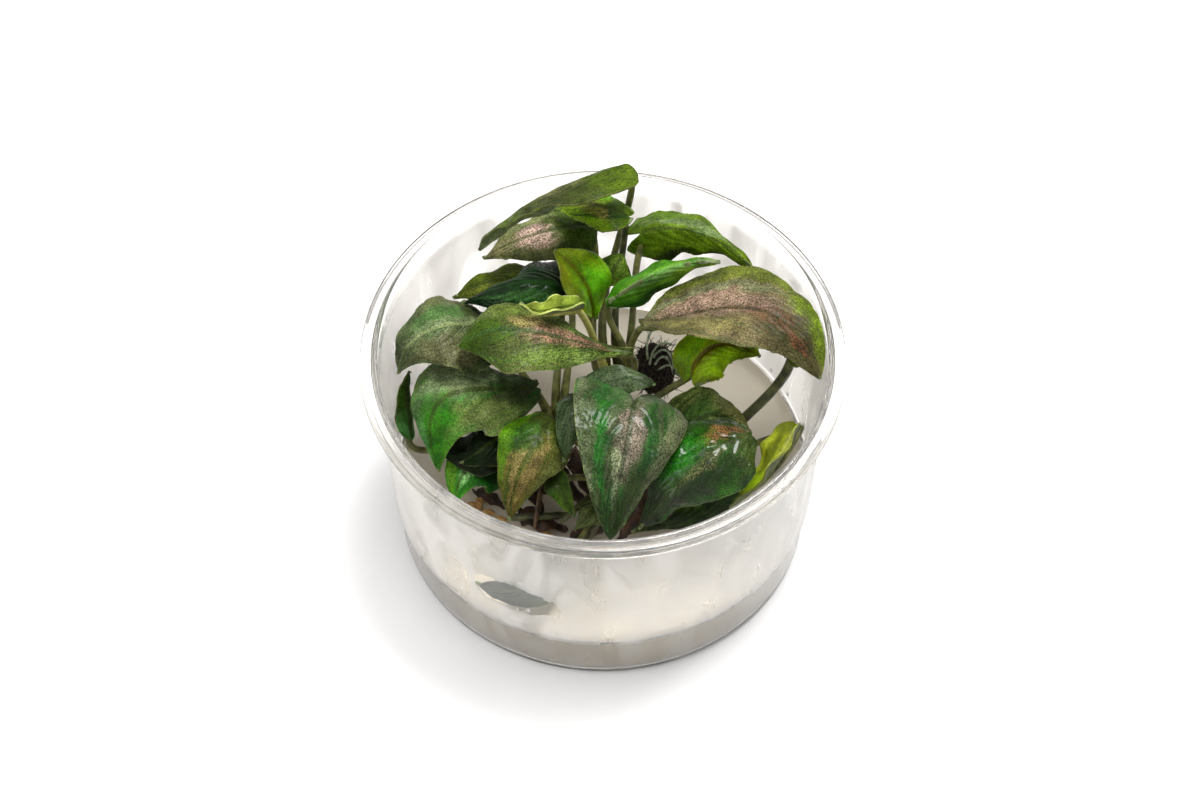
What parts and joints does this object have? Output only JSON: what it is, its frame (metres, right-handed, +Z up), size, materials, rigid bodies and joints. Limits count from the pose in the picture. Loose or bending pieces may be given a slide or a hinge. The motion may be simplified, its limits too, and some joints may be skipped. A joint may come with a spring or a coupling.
{
  "type": "tissue culture lagenandra keralensis in a cup",
  "caption": "Clear round tissue-culture cup with a layer of agar gel and young Lagenandra plants with speckled, veined leaves that rise over the rim.",
  "frame": {"origin": "centre of the cup's underside, on the surface it stands on", "axes": "+Z up along the cup's axis, -Y towards the side that the picture looks at, +X to its right"},
  "size_m": [0.1, 0.1, 0.0759],
  "materials": {
    "clear_polystyrene": "clear, glossy",
    "agar_gel": "cloudy, wet",
    "dark_roots": "fuzzy, matt",
    "stem": "smooth, matt",
    "leaf_deep_green": "smooth, waxy",
    "leaf_mid_green": "smooth, waxy",
    "leaf_bright_green": "smooth, waxy",
    "leaf_olive": "smooth, waxy",
    "leaf_grey_green": "finely speckled",
    "leaf_grey_pink": "finely speckled",
    "leaf_pale_green": "smooth, waxy"
  },
  "bodies": {
    "root": {"cup": "clear_polystyrene", "gel": "agar_gel", "root_clump": "dark_roots", "crown_back": "stem", "crown_left": "stem", "crown_front": "stem", "crown_right": "stem", "leaf_heart": "leaf_mid_green", "leaf_right_long": "leaf_grey_pink", "leaf_right_under": "leaf_bright_green", "leaf_right_small": "leaf_bright_green", "leaf_back_smooth": "leaf_mid_green", "leaf_back_right": "leaf_mid_green", "leaf_back_tall": "leaf_olive", "leaf_back_pink": "leaf_grey_pink", "leaf_back_dark": "leaf_deep_green", "leaf_young": "leaf_bright_green", "leaf_rolled": "leaf_deep_green", "leaf_left_behind": "leaf_olive", "leaf_left_veined": "leaf_grey_green", "leaf_centre_left": "leaf_grey_green", "leaf_curled": "leaf_pale_green", "leaf_left_front": "leaf_mid_green", "leaf_left_low": "leaf_deep_green", "leaf_left_shadow": "leaf_deep_green", "leaf_striped": "leaf_olive", "leaf_round": "leaf_olive", "leaf_glossy": "leaf_deep_green", "leaf_right_wall": "leaf_bright_green", "leaf_front_low": "leaf_deep_green", "leaf_narrow": "leaf_deep_green", "leaf_wall_low": "leaf_grey_green", "leaf_left_wall": "leaf_olive", "leaf_small_blade": "leaf_olive", "leaf_triangle": "leaf_olive"}
  },
  "joints": []
}
